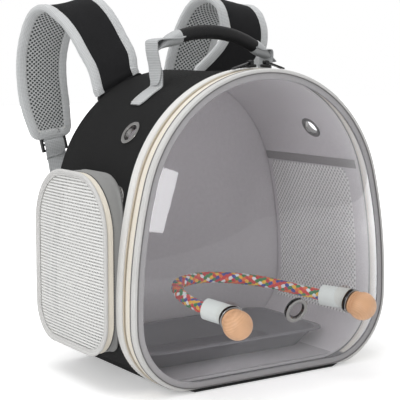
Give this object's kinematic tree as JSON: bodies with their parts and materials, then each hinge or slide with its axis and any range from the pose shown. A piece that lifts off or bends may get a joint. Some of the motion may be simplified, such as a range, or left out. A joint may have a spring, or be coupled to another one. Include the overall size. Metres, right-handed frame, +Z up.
{
  "type": "bird travel carrier",
  "caption": "Arched fabric backpack carrier for small birds with a clear domed zip front, rope perch, side mesh pockets, lift-out tray, carry handle and padded shoulder straps.",
  "frame": {"origin": "middle of the base, on the surface the carrier stands on", "axes": "+Z up, the clear front faces -Y, +X is the right-hand side as seen from the front"},
  "size_m": [0.3548, 0.391, 0.416],
  "materials": {
    "black_fabric": "matt woven polyester",
    "grey_lining": "smooth woven lining",
    "black_base": "coated polyester",
    "light_band": "woven grosgrain",
    "white_binding": "woven binding tape",
    "cream_band": "woven band",
    "zip_tape": "zip tape",
    "zip_teeth": "nylon coil",
    "light_mesh": "open ladder mesh",
    "grey_binding": "binding tape",
    "air_mesh": "spacer mesh",
    "strap_light": "grosgrain binding",
    "webbing": "ribbed webbing",
    "clear_window": "clear PVC sheet",
    "nickel": "polished nickel",
    "steel": "bright steel",
    "pale_wood": "turned and sealed",
    "rope": "braided cotton cord over a wire",
    "mint_plastic": "moulded",
    "black_metal": "black lacquer",
    "grey_metal": "grey lacquer",
    "grip_fabric": "padded smooth fabric",
    "black_plastic": "moulded",
    "board_grey": "covered board"
  },
  "bodies": {
    "carrier": {"shell_wall": "black_fabric", "shell_lining": "grey_lining", "back_panel": "black_fabric", "back_lining": "grey_lining", "back_cushion": "air_mesh", "base_panel": "black_base", "floor_board": "board_grey", "rim_band": "light_band", "shell_zip_tape": "zip_tape", "shell_zip_teeth": "zip_teeth", "vent_grommets": "nickel", "side_meshes": "light_mesh", "mesh_bindings": "grey_binding", "pocket_gusset_l": "light_band", "pocket_gusset_r": "light_band", "pocket_pipings": "white_binding", "handle_tabs": "webbing", "strap_yoke": "black_fabric", "strap_webbing_l": "webbing", "strap_webbing_r": "webbing", "webbing_tabs": "black_fabric"},
    "front door": {"door_frame": "white_binding", "door_band": "cream_band", "door_zip_tape": "zip_tape", "door_zip_teeth": "zip_teeth", "window": "clear_window", "window_grommets": "nickel", "perch_rope": "rope", "perch_ferrule_l": "mint_plastic", "perch_ferrule_r": "mint_plastic", "perch_studs": "steel"},
    "left knob": {"perch_knob_l": "pale_wood"},
    "right knob": {"perch_knob_r": "pale_wood"},
    "left door slider": {"door_slider_l": "black_metal"},
    "right door slider": {"door_slider_r": "black_metal"},
    "left door pull": {"door_pull_l": "black_metal"},
    "right door pull": {"door_pull_r": "black_metal"},
    "left pocket door": {"pocket_mesh_l": "light_mesh", "pocket_band_l": "zip_tape", "pocket_rim_l": "white_binding"},
    "right pocket door": {"pocket_mesh_r": "light_mesh", "pocket_band_r": "zip_tape", "pocket_rim_r": "white_binding"},
    "left pocket slider": {"pocket_slider_l": "grey_metal"},
    "right pocket slider": {"pocket_slider_r": "grey_metal"},
    "left pocket pull": {"pocket_pull_l": "grey_metal"},
    "right pocket pull": {"pocket_pull_r": "grey_metal"},
    "handle": {"handle_grip": "grip_fabric", "handle_webbing": "webbing"},
    "left strap": {"strap_pad_l": "black_fabric", "strap_mesh_l": "air_mesh", "strap_binding_l": "strap_light", "strap_buckle_l": "black_plastic"},
    "right strap": {"strap_pad_r": "black_fabric", "strap_mesh_r": "air_mesh", "strap_binding_r": "strap_light", "strap_buckle_r": "black_plastic"},
    "tray": {"tray": "steel"}
  },
  "joints": [
    {"name": "front door opening", "type": "hinge", "parent": "carrier", "child": "front door", "pos_m": [0, -0.0956, 0.0046], "axis": [1, 0, 0], "range_deg": [0, 38]},
    {"name": "left knob screw", "type": "hinge", "parent": "front door", "child": "left knob", "pos_m": [-0.07731, -0.14055, 0.08422], "axis": [-0.2124, -0.9471, -0.2407], "continuous": true},
    {"name": "right knob screw", "type": "hinge", "parent": "front door", "child": "right knob", "pos_m": [0.07731, -0.14055, 0.08422], "axis": [0.2124, -0.9471, -0.2407], "continuous": true},
    {"name": "left door slider run", "type": "hinge", "parent": "carrier", "child": "left door slider", "pos_m": [0, -0.07695, 0.1767], "axis": [0, -1, 0], "range_deg": [0, 70]},
    {"name": "right door slider run", "type": "hinge", "parent": "carrier", "child": "right door slider", "pos_m": [0, -0.07695, 0.1767], "axis": [0, 1, 0], "range_deg": [0, 70]},
    {"name": "left door pull swing", "type": "hinge", "parent": "left door slider", "child": "left door pull", "pos_m": [-0.01002, -0.07695, 0.33598], "axis": [0, 1, 0], "range_deg": [0, 95]},
    {"name": "right door pull swing", "type": "hinge", "parent": "right door slider", "child": "right door pull", "pos_m": [0.01002, -0.07695, 0.33598], "axis": [0, -1, 0], "range_deg": [0, 95]},
    {"name": "left pocket opening", "type": "hinge", "parent": "carrier", "child": "left pocket door", "pos_m": [-0.17145, 0.01475, 0.0353], "axis": [0, -1, 0], "range_deg": [0, 95]},
    {"name": "right pocket opening", "type": "hinge", "parent": "carrier", "child": "right pocket door", "pos_m": [0.17145, 0.01475, 0.0353], "axis": [0, 1, 0], "range_deg": [0, 95]},
    {"name": "left pocket slider run", "type": "slide", "parent": "carrier", "child": "left pocket slider", "axis": [0, 0, 1], "range_m": [0, 0.06]},
    {"name": "right pocket slider run", "type": "slide", "parent": "carrier", "child": "right pocket slider", "axis": [0, 0, 1], "range_m": [0, 0.06]},
    {"name": "left pocket pull swing", "type": "hinge", "parent": "left pocket slider", "child": "left pocket pull", "pos_m": [-0.1694, 0.09795, 0.088], "axis": [1, 0, 0], "range_deg": [-8, 100]},
    {"name": "right pocket pull swing", "type": "hinge", "parent": "right pocket slider", "child": "right pocket pull", "pos_m": [0.1694, 0.09795, 0.088], "axis": [1, 0, 0], "range_deg": [-8, 100]},
    {"name": "handle swing", "type": "hinge", "parent": "carrier", "child": "handle", "pos_m": [0, 0.01, 0.32318], "axis": [1, 0, 0], "range_deg": [-60, 60]},
    {"name": "left strap swing", "type": "hinge", "parent": "carrier", "child": "left strap", "pos_m": [-0.06889, 0.1031, 0.31488], "axis": [0.8949, 0, 0.4462], "range_deg": [-25, 25], "deforming": ["strap_webbing_l"]},
    {"name": "right strap swing", "type": "hinge", "parent": "carrier", "child": "right strap", "pos_m": [0.06889, 0.1031, 0.31488], "axis": [0.8949, 0, -0.4462], "range_deg": [-25, 25], "deforming": ["strap_webbing_r"]},
    {"name": "tray lift", "type": "slide", "parent": "carrier", "child": "tray", "axis": [0, 0, 1], "range_m": [0, 0.03]}
  ]
}
